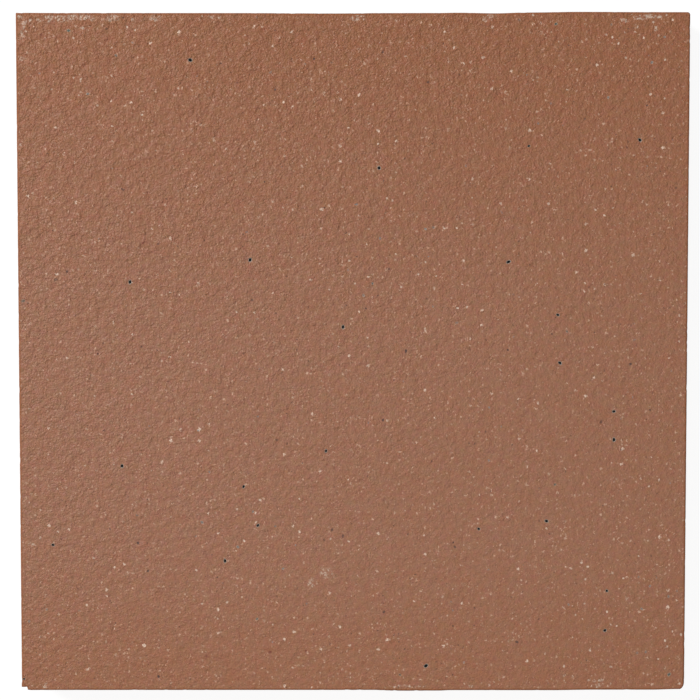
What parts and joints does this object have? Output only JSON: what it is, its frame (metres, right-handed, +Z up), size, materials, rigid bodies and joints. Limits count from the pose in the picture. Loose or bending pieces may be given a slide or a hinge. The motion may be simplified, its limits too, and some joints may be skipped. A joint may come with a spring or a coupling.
{
  "type": "quarry tile",
  "caption": "Square unglazed quarry tile of red-brown fired clay: a flat hard-wearing floor face over a back with parallel grooves that key into the mortar bed.",
  "frame": {"origin": "centre of the tile's footprint, on the bedding plane that the lands of its ribbed back rest on", "axes": "+Z up through the thickness to the wear face; +Y along the extrusion and the back grooves, towards the top of the picture; +X across the extrusion, towards the picture's right"},
  "size_m": [0.149, 0.1516, 0.0125],
  "materials": {
    "fired_clay": "unglazed, matt with a faint satin, fine leathery grain"
  },
  "bodies": {
    "root": {"quarry_tile": "fired_clay"}
  },
  "joints": []
}
